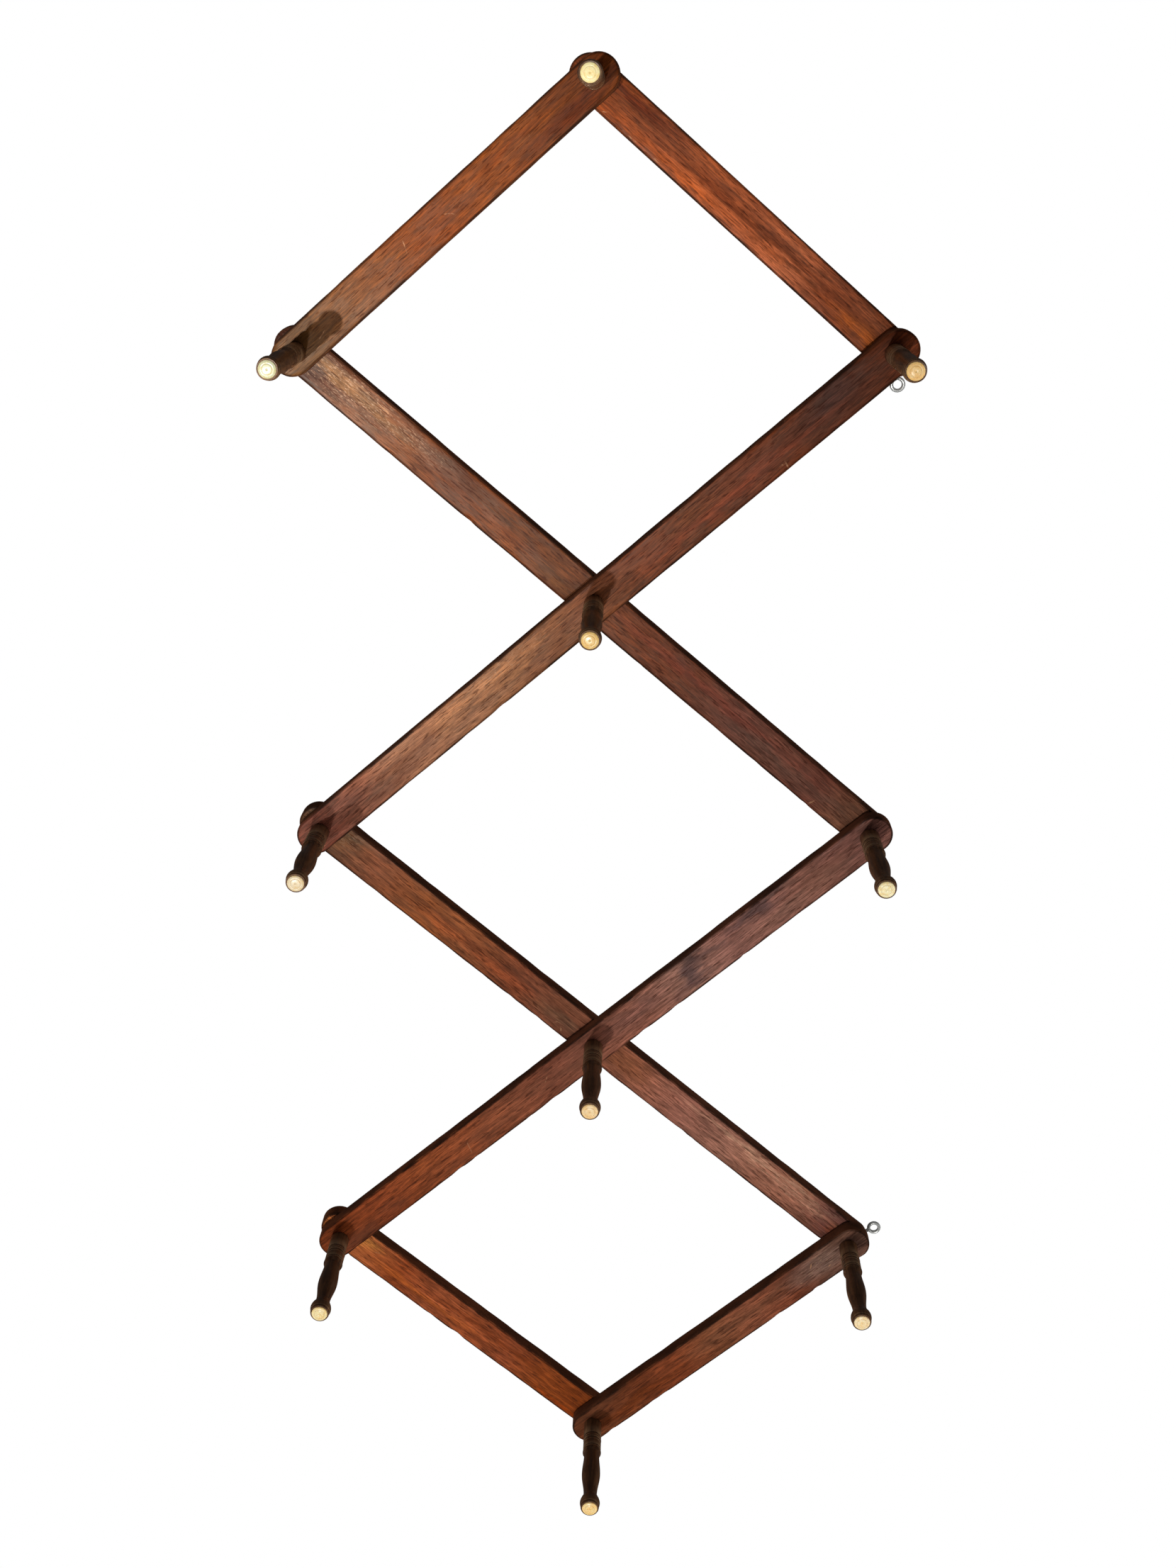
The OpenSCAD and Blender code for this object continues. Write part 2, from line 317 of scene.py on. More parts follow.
class Shader:
    """The node tree of one material. Each method adds a node and gives back the socket that leaves it."""

    def __init__(self, name):
        self.material = bpy.data.materials.new(name)
        self.material.use_nodes = True
        self.tree = self.material.node_tree
        self.tree.nodes.clear()
        output = self.tree.nodes.new("ShaderNodeOutputMaterial")
        self.surface = self.tree.nodes.new("ShaderNodeBsdfPrincipled")
        self.tree.links.new(self.surface.outputs[0], output.inputs["Surface"])
        local = self.tree.nodes.new("ShaderNodeAttribute")
        local.attribute_name = "local"
        self.position = local.outputs["Vector"]

    def node(self, kind, inputs, output=0, **settings):
        """A node with its settings and its inputs, each one a value or another node's socket."""
        made = self.tree.nodes.new(kind)
        for key, value in settings.items():
            setattr(made, key, value)
        for key, value in inputs.items():
            if isinstance(value, bpy.types.NodeSocket):
                self.tree.links.new(value, made.inputs[key])
            else:
                made.inputs[key].default_value = value
        return made.outputs[output]

    def finish_with(self, **values):
        """Feeds the surface shader's sockets, named with _ for spaces."""
        for key, value in values.items():
            socket = self.surface.inputs[key.replace("_", " ")]
            if isinstance(value, bpy.types.NodeSocket):
                self.tree.links.new(value, socket)
            else:
                socket.default_value = value
        return self.material

    def math(self, operation, a, b=0.0):
        return self.node("ShaderNodeMath", {0: a, 1: b}, operation=operation)

    def parts(self, vector):
        split = self.node("ShaderNodeSeparateXYZ", {0: vector})
        return list(split.node.outputs)

    def stretched(self, vector, cycles, seed):
        """A vector scaled to so many cycles a metre along each axis, and moved on by a seed."""
        offset = (seed * 7.31 + 1.7, seed * 3.17 + 5.2, seed * 5.73 + 9.4)
        return self.node("ShaderNodeMapping", {"Vector": vector, "Scale": cycles, "Location": offset})

    def noise(self, vector, detail=2.0, roughness=0.5):
        inputs = {"Vector": vector, "Scale": 1.0, "Detail": detail, "Roughness": roughness, "Distortion": 0.0}
        return self.node("ShaderNodeTexNoise", inputs)

    def between(self, value, low, high, to_low=0.0, to_high=1.0):
        """Carries low..high smoothly to to_low..to_high, and holds beyond."""
        inputs = {"Value": value, "From Min": low, "From Max": high, "To Min": to_low, "To Max": to_high}
        return self.node("ShaderNodeMapRange", inputs, interpolation_type="SMOOTHSTEP")

    def ramp(self, value, stops):
        made = self.node("ShaderNodeValToRGB", {0: value})
        elements = made.node.color_ramp.elements
        while len(elements) < len(stops):
            elements.new(1.0)
        for element, (place, colour) in zip(elements, stops):
            element.position = place
            element.color = colour
        return made

    def mix(self, factor, a, b, blend="MIX"):
        inputs = {0: factor, 6: a, 7: b}
        return self.node("ShaderNodeMix", inputs, output=2, data_type="RGBA", blend_type=blend)

    def grey(self, value):
        return self.node("ShaderNodeCombineColor", {0: value, 1: value, 2: value})

    def attribute(self, name):
        return self.node("ShaderNodeAttribute", {}, output=2, attribute_name=name)

    def spot(self, vector, centre, size, turn, softness):
        """1 inside an ellipse of the face plane and 0 outside it, with a soft rim."""
        inputs = {
            "Vector": vector,
            "Location": (centre[0], centre[1], 0.0),
            "Rotation": (0.0, 0.0, math.radians(turn)),
            "Scale": (size[0], size[1], 1.0),
        }
        placed = self.node("ShaderNodeMapping", inputs, vector_type="TEXTURE")
        distance = self.node("ShaderNodeVectorMath", {0: placed}, output=1, operation="LENGTH")
        return self.between(distance, 1.0 - softness, 1.0 + softness, 1.0, 0.0)

    def bump(self, height, distance, strength):
        return self.node("ShaderNodeBump", {"Height": height, "Distance": distance, "Strength": strength})


def stained_wood(name, stain, half_length, half_thick, seed):
    """Varnished mahogany-stained hardwood with its grain along X and its face across Y."""
    s = Shader(name)
    position = s.position

    # Layers of noise, each with its cycles a metre along the slat, across it and through it
    sway = s.noise(s.stretched(position, (6.0, 24.0, 24.0), seed), detail=1.0)
    shift = s.node("ShaderNodeCombineXYZ", {1: s.math("MULTIPLY", s.math("SUBTRACT", sway, 0.5), 5.0 * MM)})
    grain = s.node("ShaderNodeVectorMath", {0: position, 1: shift}, operation="ADD")
    streak = s.noise(s.stretched(grain, (6.0, 230.0, 110.0), seed), detail=5.0, roughness=0.6)
    figure = s.noise(s.stretched(grain, (3.0, 80.0, 40.0), seed + 1), detail=2.0)
    fibre = s.noise(s.stretched(grain, (70.0, 1900.0, 1200.0), seed + 2), detail=2.0)
    dash = s.noise(s.stretched(grain, (100.0, 720.0, 600.0), seed + 7), detail=4.0, roughness=0.7)
    pore = s.noise(s.stretched(grain, (130.0, 1150.0, 1000.0), seed + 3), detail=2.0)
    blotch = s.noise(s.stretched(position, (45.0, 130.0, 110.0), seed + 4), detail=5.0, roughness=0.62)
    cloud = s.noise(s.stretched(position, (14.0, 40.0, 40.0), seed + 6), detail=2.0)
    fleck = s.noise(s.stretched(position, (420.0, 1300.0, 1300.0), seed + 8), detail=3.0, roughness=0.7)
    speck = s.noise(s.stretched(position, (420.0, 620.0, 620.0), seed + 5), detail=2.0)

    along = s.between(s.parts(position)[0], -half_length, half_length)
    along.node.interpolation_type = "LINEAR"
    colour = s.ramp(along, [(place, linear(shade)) for place, shade in stain["stops"]])

    # Ragged edges for every patch: its coordinates are pushed about by the blotches and the grain
    push_x = s.math("MULTIPLY", s.math("SUBTRACT", blotch, 0.5), 40.0 * MM)
    push_y = s.math("MULTIPLY", s.math("SUBTRACT", blotch, 0.5), 14.0 * MM)
    push = s.node("ShaderNodeCombineXYZ", {0: push_x, 1: push_y})
    ragged = s.node("ShaderNodeVectorMath", {0: position, 1: push}, operation="ADD")
    flat = s.node("ShaderNodeVectorMath", {0: ragged, 1: (1.0, 1.0, 0.0)}, operation="MULTIPLY")
    for place, across, length, width, turn, shade, strength in stain["patches"]:
        centre = ((2 * place - 1) * half_length, across * MM)
        mask = s.spot(flat, centre, (length * MM, width * MM), turn, 0.7)
        colour = s.mix(s.math("MULTIPLY", mask, strength), colour, linear(shade))

    # Long streaks, broad figure, fine fibres and clouds of stain
    depth = stain["figure"]
    tone = s.between(streak, 0.34, 0.66, 1.0 - 0.12 * depth, 1.0 + 0.12 * depth)
    band = s.between(figure, 0.36, 0.64, 1.0 - 0.07 * depth, 1.0 + 0.07 * depth)
    fine = s.between(fibre, 0.34, 0.66, 0.76, 1.26)
    thread = s.math("MULTIPLY", fine, s.between(dash, 0.36, 0.64, 0.70, 1.26))
    mottle = s.between(blotch, 0.36, 0.64, 0.89, 1.11)
    value = s.math("MULTIPLY", s.math("MULTIPLY", tone, band), s.math("MULTIPLY", thread, mottle))
    colour = s.mix(1.0, colour, s.grey(value), "MULTIPLY")
    colour = s.mix(s.between(cloud, 0.52, 0.70, 0.0, 0.34), colour, linear(stain["cloud"]))
    colour = s.mix(s.between(streak, 0.48, 0.34, 0.0, 0.18 * depth), colour, linear(STREAK))

    # Pale flecks of painted highlight, glints on the varnish, as dashes along the grain
    for place, across, length, width, strength in stain.get("glints", []):
        centre = ((2 * place - 1) * half_length, across * MM)
        mask = s.spot(flat, centre, (length * MM, width * MM), 0.0, 0.8)
        mask = s.math("MULTIPLY", s.math("MULTIPLY", mask, strength), s.between(fleck, 0.52, 0.66))
        colour = s.mix(mask, colour, linear(PAINTED_GLINT))

    # Open pores as short dark dashes along the grain
    pores = s.between(pore, 0.57, 0.67)
    colour = s.mix(s.math("MULTIPLY", pores, 0.62), colour, linear(OPEN_PORE))

    # Scratches down to paler wood
    wave = s.math("MULTIPLY", s.math("SUBTRACT", blotch, 0.5), 6.0 * MM)
    sideways = s.node("ShaderNodeCombineXYZ", {1: wave})
    wobble = s.node("ShaderNodeVectorMath", {0: position, 1: sideways}, operation="ADD")
    plain = s.node("ShaderNodeVectorMath", {0: wobble, 1: (1.0, 1.0, 0.0)}, operation="MULTIPLY")
    for place, across, length, width, turn in stain["scratches"]:
        centre = ((2 * place - 1) * half_length, across * MM)
        mask = s.spot(plain, centre, (length / 2 * MM, width / 2 * MM), turn, 0.4)
        mask = s.math("MULTIPLY", mask, s.between(speck, 0.40, 0.56, 0.10, 0.60))
        colour = s.mix(mask, colour, linear(SCRATCHED))

    # Dirt along the arrises; paler arrises in places, partly rubbed wood and partly painted highlight;
    # painted shade darkening the sides; and pale specks
    edge = s.attribute("edge")
    dirty = s.math("MULTIPLY", s.between(edge, 0.26, 0.54), s.between(blotch, 0.66, 0.40, 0.60, 0.96))
    colour = s.mix(dirty, colour, linear(ARRIS_DIRT))
    # Paler arrises in patches: partly rubbed wear, partly painted highlight
    rubbed_and_lit = s.math("MULTIPLY", s.between(edge, 0.55, 0.95), s.between(blotch, 0.46, 0.60))
    colour = s.mix(s.math("MULTIPLY", rubbed_and_lit, 0.3), colour, linear(ARRIS_WEAR_AND_HIGHLIGHT))
    height = s.math("ABSOLUTE", s.parts(position)[2])
    side = s.between(height, half_thick - 0.2 * MM, half_thick - 0.9 * MM)
    # Painted shade: the side faces are darkened, in blotches, to stand in for the shade on them
    side_shade = s.mix(s.between(blotch, 0.35, 0.65), linear(PAINTED_SIDE_SHADE[0]), linear(PAINTED_SIDE_SHADE[1]))
    colour = s.mix(s.math("MULTIPLY", side, 0.9), colour, side_shade)
    colour = s.mix(s.between(speck, 0.68, 0.76, 0.0, 0.10), colour, linear(PALE_SPECK))

    # Varnish on the faces, duller in the pores and dull on the dirty arrises and on the sides
    gloss = s.math("ADD", s.between(blotch, 0.35, 0.65, 0.42, 0.58), s.math("MULTIPLY", pores, 0.2))
    dull = s.math("MAXIMUM", side, s.between(edge, 0.2, 0.5))
    gloss = s.math("ADD", gloss, s.math("MULTIPLY", dull, 0.4))
    relief = s.math("SUBTRACT", s.math("MULTIPLY", fibre, 0.35), s.math("MULTIPLY", pores, 0.7))
    relief = s.math("ADD", relief, s.math("MULTIPLY", streak, 0.6))
    normal = s.bump(relief, 0.10 * MM, 0.55)
    return s.finish_with(
        Base_Color=colour, Roughness=gloss, Normal=normal,
        Coat_Weight=0.015, Coat_Roughness=0.25, Specular_IOR_Level=0.10, Specular_Tint=(1.0, 0.82, 0.66, 1.0),
    )


def turned_wood(name, seed):
    """Very dark stained turned wood with its grain along Z and fine tool rings round it."""
    s = Shader(name)
    position = s.position
    grain = s.noise(s.stretched(position, (620.0, 620.0, 26.0), seed), detail=4.0, roughness=0.6)
    rings = s.noise(s.stretched(position, (40.0, 40.0, 1900.0), seed + 1), detail=2.0)
    patch = s.noise(s.stretched(position, (110.0, 110.0, 70.0), seed + 2), detail=4.0, roughness=0.6)
    pore = s.noise(s.stretched(position, (1700.0, 1700.0, 190.0), seed + 3), detail=1.0)
    colour = s.ramp(grain, [(place, linear(shade)) for place, shade in PEG_STAIN])
    colour = s.mix(s.between(patch, 0.50, 0.70, 0.0, 0.30), colour, linear(PEG_PATCH))
    colour = s.mix(s.between(rings, 0.36, 0.52, 0.15, 0.0), colour, linear(PEG_RING))
    colour = s.mix(s.between(pore, 0.60, 0.70, 0.0, 0.4), colour, linear(PEG_PORE))
    # Paler where the peg is rubbed, and painted highlights on the lips of its grooves
    worn = s.math("MULTIPLY", s.attribute("edge"), s.between(patch, 0.40, 0.56, 0.35, 1.0))
    colour = s.mix(s.math("MULTIPLY", worn, 0.8), colour, linear(PEG_WEAR_AND_HIGHLIGHT))
    gloss = s.between(patch, 0.35, 0.65, 0.30, 0.52)
    relief = s.math("ADD", s.math("MULTIPLY", rings, 0.7), s.math("MULTIPLY", grain, 0.5))
    return s.finish_with(
        Base_Color=colour, Roughness=gloss, Normal=s.bump(relief, 0.05 * MM, 0.4),
        Coat_Weight=0.04, Coat_Roughness=0.3, Specular_IOR_Level=0.25,
    )


def ivory(name, tint, seed):
    """Aged ivory-coloured plastic: mottled, with a faint ring mark and dirt in it."""
    s = Shader(name)
    position = s.position
    mottle = s.noise(s.stretched(position, (340.0, 340.0, 340.0), seed), detail=4.0, roughness=0.6)
    fleck = s.noise(s.stretched(position, (1500.0, 1500.0, 1500.0), seed + 1), detail=2.0)
    pale = linear(tint)
    deep = linear([c * f for c, f in zip(tint, IVORY_DEEP)])
    colour = s.mix(s.between(mottle, 0.40, 0.64), pale, deep)
    colour = s.mix(s.between(fleck, 0.60, 0.72, 0.0, 0.22), colour, linear(IVORY_FLECK))
    colour = s.mix(s.math("MULTIPLY", s.attribute("edge"), 0.5), colour, linear(IVORY_DIRT))
    gloss = s.between(mottle, 0.35, 0.65, 0.28, 0.48)
    return s.finish_with(
        Base_Color=colour, Roughness=gloss, Normal=s.bump(mottle, 0.08 * MM, 0.3),
        Subsurface_Weight=0.12, Subsurface_Radius=(1.2 * MM, 0.8 * MM, 0.4 * MM), Subsurface_Scale=1.0,
        Coat_Weight=0.08, Coat_Roughness=0.2,
    )


def metal(name, plate, wear, seed):
    """Plated steel with tarnish in patches and fine scratches, from its clean and tarnished colours."""
    s = Shader(name)
    clean, tarnish = plate
    position = s.position
    patch = s.noise(s.stretched(position, (260.0, 260.0, 260.0), seed), detail=5.0, roughness=0.65)
    scratch = s.noise(s.stretched(position, (300.0, 4200.0, 900.0), seed + 1), detail=2.0)
    colour = s.mix(s.between(patch, 0.60 - wear, 0.72 - wear * 0.6), linear(clean), linear(tarnish))
    colour = s.mix(s.between(scratch, 0.60, 0.72, 0.0, 0.35), colour, linear(BRIGHT_SCRATCH))
    gloss = s.between(patch, 0.40, 0.66, 0.24, 0.55)
    return s.finish_with(
        Base_Color=colour, Roughness=gloss, Metallic=0.55,
        Normal=s.bump(s.math("ADD", scratch, patch), 0.05 * MM, 0.5),
    )


def pivot(name):
    """Place of a pivot, in the plane of the lattice."""
    low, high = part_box("button_" + name)
    middle = (low + high) / 2
    return Vector((middle.x, 0.0, middle.z))


def facing(origin, along):
    """Matrix whose X runs along the lattice plane, whose Z faces the viewer and whose Y is square to both."""
    outward = Vector((0.0, -1.0, 0.0))
    across = outward.cross(along)
    turned = Matrix((along, across, outward)).transposed().to_4x4()
    turned.translation = origin
    return turned


def mesh_object(name, points, faces):
    """A smooth-shaded object from points and faces, with doubled points welded."""
    mesh = bpy.data.meshes.new(name)
    mesh.from_pydata([tuple(p) for p in points], [], faces)
    work = bmesh.new()
    work.from_mesh(mesh)
    bmesh.ops.remove_doubles(work, verts=work.verts, dist=0.002 * MM)
    bmesh.ops.recalc_face_normals(work, faces=work.faces)
    work.to_mesh(mesh)
    work.free()
    made = bpy.data.objects.new(name, mesh)
    bpy.context.scene.collection.objects.link(made)
    return made


def shade(made, angle=32.0):
    """Smooth shading that keeps the edges sharper than an angle."""
    made.data.shade_smooth()
    made.data.set_sharp_from_angle(angle=math.radians(angle))


def band_faces(rows, count):
    """Quads between successive rings of count points."""
    return [
        (r * count + k, r * count + (k + 1) % count, (r + 1) * count + (k + 1) % count, (r + 1) * count + k)
        for r in range(rows - 1)
        for k in range(count)
    ]


def lathe(name, outline, steps=LATHE_STEPS):
    """A solid turned about Z from (radius, height) points that start and end on the axis."""
    points = [
        (r * math.cos(2 * math.pi * k / steps), r * math.sin(2 * math.pi * k / steps), z)
        for r, z in outline
        for k in range(steps)
    ]
    return mesh_object(name, points, band_faces(len(outline), steps))


def set_edge(made, closeness):
    """Stores how close each point is to a worn edge, from 0 to 1."""
    attribute = made.data.attributes.new("edge", "FLOAT", "POINT")
    attribute.data.foreach_set("value", np.asarray(closeness, np.float32))


def corners_of(made):
    """The points of a piece, as rows of x, y and z."""
    co = np.zeros(len(made.data.vertices) * 3)
    made.data.vertices.foreach_get("co", co)
    return co.reshape(-1, 3)


def bring(made, place):
    """Keeps a piece's own coordinates for its material, then moves its mesh to its place in the frame."""
    attribute = made.data.attributes.new("local", "FLOAT_VECTOR", "POINT")
    attribute.data.foreach_set("vector", corners_of(made).ravel())
    made.data.transform(place)


def cut(made, cutters):
    """Cuts closed meshes out of a piece, then drops them."""
    for cutter in cutters:
        modifier = made.modifiers.new("cut", "BOOLEAN")
        modifier.operation = "DIFFERENCE"
        modifier.solver = "EXACT"
        modifier.object = cutter
    bpy.context.view_layer.update()
    graph = bpy.context.evaluated_depsgraph_get()
    finished = bpy.data.meshes.new_from_object(made.evaluated_get(graph))
    made.modifiers.clear()
    made.data = finished
    for cutter in cutters:
        bpy.data.objects.remove(cutter)


def stadium(half, radius, stations, fan):
    """Points round a slat's outline: a straight pair of sides with a half circle at each end."""
    top = [(x, radius) for x in stations]
    right = [(half + radius * math.cos(a), radius * math.sin(a)) for a in fan]
    bottom = [(-x, -y) for x, y in top]
    left = [(-x, -y) for x, y in right]
    return top + right + bottom + left


# Section of a slat, as inset from its outline and share of its half thickness, with an eased edge
EASE_R = 0.9 * MM
FACE_INSETS = [0.84, 0.66, 0.48, 0.34, 0.22]
STATION_STEP = 2.2 * MM
END_STEPS = 22
NICK_SPACING = 26 * MM
WAVE_DEPTH = 0.05 * MM
RUB_DEPTH = 0.45 * MM


def slat_section(half_width, half_thick):
    """Insets and heights from the middle of the front face, round the edge, to the middle of the back."""
    face = [(half_width, half_thick)] + [(half_width * f, half_thick) for f in FACE_INSETS]
    turn = [math.radians(a) for a in range(0, 91, 15)]
    edge = [
        (EASE_R * (1 - math.sin(a)), half_thick - EASE_R * (1 - math.cos(a)))
        for a in turn
    ]
    side = [(0.0, half_thick * 0.35), (0.0, 0.0)]
    front = face + edge + side
    back = [(inset, -height) for inset, height in reversed(front[:-1])]
    return front + back


def worn_by(points, half, half_width, half_thick, seed):
    """How far each point of a slat is worn in: a faint wave all over, rubbed arrises and a few nicks."""
    chance = random.Random(seed)
    nicks = [
        (
            chance.uniform(-half, half), chance.choice((-1, 1)),
            chance.uniform(1.2, 4.5) * MM, chance.uniform(0.2, 0.75) * MM,
        )
        for _ in range(int(half * 2 / NICK_SPACING))
    ]
    worn = []
    for x, y, z in points:
        closeness = edge_closeness(x, y, z, half - half_width, half_width, half_thick)
        wave = 0.5 + 0.5 * noise.noise(Vector((x * 34, y * 60, z * 60 + seed * 3.1)))
        rub = max(0.0, noise.noise(Vector((x * 70, y * 40, z * 40 + seed * 5.7))))
        depth = WAVE_DEPTH * wave + RUB_DEPTH * rub * closeness
        if z > 0:
            for place, sign, width, bite in nicks:
                if y * sign > 0 and abs(x - place) < 3 * width:
                    depth += bite * closeness * math.exp(-((x - place) / width) ** 2)
        worn.append(depth)
    return worn


def edge_closeness(x, y, z, straight, half_width, half_thick, reach=1.8 * MM):
    """1 on an arris of a slat, falling to 0 within a short reach of it."""
    out = math.hypot(max(abs(x) - straight, 0.0), y)
    near_rim = min(max((out - half_width + reach) / reach, 0.0), 1.0)
    near_face = min(max((abs(z) - half_thick + reach) / reach, 0.0), 1.0)
    return near_rim * near_face


def stepped_bore(place, half_thick, radius, recess):
    """Cutter for a bore through a slat at a place along it, with a wider recess in its back."""
    step = -half_thick + RECESS_DEPTH
    reach = 3 * half_thick
    outline = [(0.0, -reach), (radius, -reach), (radius, reach), (0.0, reach)]
    if recess:
        outline[1:2] = [(RECESS_R, -reach), (RECESS_R, step), (radius, step)]
    cutter = lathe("cutter", outline)
    cutter.location.x = place
    return cutter


def slat_frame(node):
    """A slat's direction and middle, then half its straight length, half its width and half its thickness."""
    low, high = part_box(node)
    first, last = pivot(SLAT_PIVOTS[node][0]), pivot(SLAT_PIVOTS[node][-1])
    along = (last - first).normalized()
    slope_x, slope_z = abs(along.x), abs(along.z)
    size = high - low
    straight = (size.z - size.x) / (slope_z - slope_x) / 2
    half_width = (size.z - 2 * straight * slope_z) / 2
    middle = (first + last) / 2
    middle.y = (low.y + high.y) / 2
    return along, middle, straight, half_width, size.y / 2


def build_slat(node, seed):
    """One slat: an eased and slightly worn plank with round ends, bored for its tenons."""
    along, middle, straight, half_width, half_thick = slat_frame(node)
    half = straight + half_width

    count = round(2 * straight / STATION_STEP)
    stations = [straight * (2 * k / count - 1) for k in range(count + 1)]
    fan = [math.pi * (0.5 - k / END_STEPS) for k in range(1, END_STEPS)]
    section = slat_section(half_width, half_thick)
    points = []
    for inset, height in section:
        ring = stadium(straight, half_width - inset, stations, fan)
        points += [(x, y, height) for x, y in ring]
    ring_size = len(points) // len(section)
    worn = worn_by(points, half, half_width, half_thick, seed)
    eased = []
    for (x, y, z), depth in zip(points, worn):
        out_x = max(abs(x) - straight, 0.0) * math.copysign(1.0, x)
        out = Vector((out_x, y, 0.0))
        share = min(out.length / half_width, 1.0) ** 8
        inward = out.normalized() * -share if out.length > 0 else Vector()
        inward.z = -math.copysign(min(abs(z) / half_thick, 1.0) ** 4, z)
        eased.append(Vector((x, y, z)) + inward * depth)
    made = mesh_object(node.replace("_slat_", "_plank_"), eased, band_faces(len(section), ring_size))

    is_rear = node.startswith("rear")
    radius = TENON_R + (TENON_PLAY if is_rear else 0.0)
    bores = [(pivot(name) - middle).dot(along) for name in SLAT_PIVOTS[node]]
    cutters = [stepped_bore(bore, half_thick, radius, is_rear) for bore in bores]
    place = facing(middle, along)
    for eye, (slat, at) in EYE_SLATS.items():
        if slat == node:
            start, direction = eye_axis(eye, at, place, straight)
            shank = start + direction * EYE_SHANK_START
            cutters.append(rod("cutter", shank, start + direction * 2 * half_width, EYE_SHANK_R))
    cut(made, cutters)
    set_edge(made, [edge_closeness(*p, straight, half_width, half_thick) for p in corners_of(made)])
    shade(made)
    made.data.materials.append(stained_wood("stain_" + node, STAINS[node], half, half_thick, seed))
    bring(made, place)
    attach(made, BODY_OF[node])
    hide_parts(node)


def eye_axis(eye, at, place, straight):
    """An eye's start, at the centre of its slat's round end, and direction, in the slat's own axes."""
    inverse = place.inverted()
    ring = inverse @ Vector(MOUNTS[eye]["pos_m"])
    start = Vector((math.copysign(straight, (inverse @ pivot(at)).x), 0.0, 0.0))
    return start, (ring - start).normalized()


def rod(name, start, end, radius):
    """A straight round bar from start to end."""
    length = (end - start).length
    made = lathe(name, [(0.0, 0.0), (radius, 0.0), (radius, length), (0.0, length)], 48)
    turned = Vector((0.0, 0.0, 1.0)).rotation_difference(end - start).to_matrix().to_4x4()
    turned.translation = start
    made.matrix_world = turned
    return made


def swell(z0, r0, z1, r1, steps):
    """Half-cosine swell from one radius to the next, without its last point."""
    return [
        (r0 + (r1 - r0) * (1 - math.cos(math.pi * k / steps)) / 2, z0 + (z1 - z0) * k / steps)
        for k in range(steps)
    ]


def groove(z, radius, depth, half, steps=8):
    """A round-bottomed groove with softened lips."""
    return [
        (radius - depth * (0.5 + 0.5 * math.cos(math.pi * t)), z + half * t)
        for t in (2 * k / steps - 1 for k in range(steps + 1))
    ]


# Peg and button, in millimetres: radii, then heights out of the front slat
FOOT_R = 5.65
BELLY_R = 5.75
NECK_R = 4.15
BALL_R = 6.15
BUTTON_R = 4.7
RIM_R = BUTTON_R + 0.62
FOOT_END = 6.0
LOW_GROOVE, MIDDLE_GROOVE, HIGH_GROOVE, RIM_GROOVE = 13.7, 18.0, 24.6, 77.0
BEAD_START, BEAD_WIDEST, BEAD_END = 14.7, 15.85, 17.0
BAND_START, BAND_END = 20.5, 23.4
COLLAR_START, COLLAR_WIDEST, COLLAR_END = 25.35, 27.1, 29.7
BELLY_WIDEST, NECK_NARROWEST = 47.4, 65.5
BALL_WIDEST, BALL_END = 73.5, 76.6
BUTTON_DEPTH = 3.0
BUTTON_CROWN = 1.2
CROWN_STEPS = 26
PEG_TURN = 37.0  # degrees from one peg's grain to the next one's
RING_MARK = 0.62  # share of the button's radius


def peg_outline(reach, tenon_len):
    """Outline of a peg from the end of its tenon to its end face and button pocket."""
    tenon_r = TENON_R / MM
    bead_r, collar_r, waist_r = FOOT_R + 0.12, FOOT_R + 0.2, FOOT_R - 0.8
    body = [(0, -tenon_len), (tenon_r - 0.3, -tenon_len), (tenon_r, 0.4 - tenon_len), (tenon_r, 0)]
    body += [(FOOT_R - 0.25, 0), (FOOT_R, 0.35), (FOOT_R - 0.02, FOOT_END)]
    body += groove(LOW_GROOVE, FOOT_R, 0.5, 1.0)
    body += swell(BEAD_START, FOOT_R, BEAD_WIDEST, bead_r, 4)
    body += swell(BEAD_WIDEST, bead_r, BEAD_END, FOOT_R, 4)
    body += groove(MIDDLE_GROOVE, FOOT_R, 0.5, 1.0)
    body += [(FOOT_R, BAND_START), (FOOT_R, BAND_END)]
    body += groove(HIGH_GROOVE, FOOT_R, 0.55, 0.75)
    body += swell(COLLAR_START, FOOT_R, COLLAR_WIDEST, collar_r, 6)
    body += swell(COLLAR_WIDEST, collar_r, COLLAR_END, waist_r, 10)
    body += swell(COLLAR_END, waist_r, BELLY_WIDEST, BELLY_R, 24)
    body += swell(BELLY_WIDEST, BELLY_R, NECK_NARROWEST, NECK_R, 24)
    body += swell(NECK_NARROWEST, NECK_R, BALL_WIDEST, BALL_R, 18)
    body += swell(BALL_WIDEST, BALL_R, BALL_END, RIM_R + 0.38, 8)
    body += groove(RIM_GROOVE, RIM_R + 0.3, 0.14, 0.3)
    body += [
        (RIM_R + 0.16, reach - 0.5), (RIM_R + 0.10, reach - 0.25),
        (RIM_R, reach - 0.08), (RIM_R - 0.14, reach),
    ]
    pocket = [
        (RIM_R - 0.24, reach), (RIM_R - 0.34, reach - 0.02), (BUTTON_R + 0.12, reach - 0.05),
        (BUTTON_R, reach - 0.2), (BUTTON_R, reach - BUTTON_DEPTH), (0, reach - BUTTON_DEPTH),
    ]
    return [(r * MM, z * MM) for r, z in body + pocket]


# Outline of the pilot hole for the screw
PILOT_HOLE = [(0.0, -30 * MM), (SCREW_R, -30 * MM), (SCREW_R, -2.6 * MM), (0.0, -2.0 * MM)]

# Where pale highlights are painted on the lips of a peg's grooves, in millimetres out of the front slat
LIP_HIGHLIGHTS = (12.5, 14.9, 16.8, 19.2, 23.7, 25.5, 76.2)


def near(value, place, width):
    """1 at a place, falling to 0 either side of it."""
    return math.exp(-(((value - place) / width) ** 2))


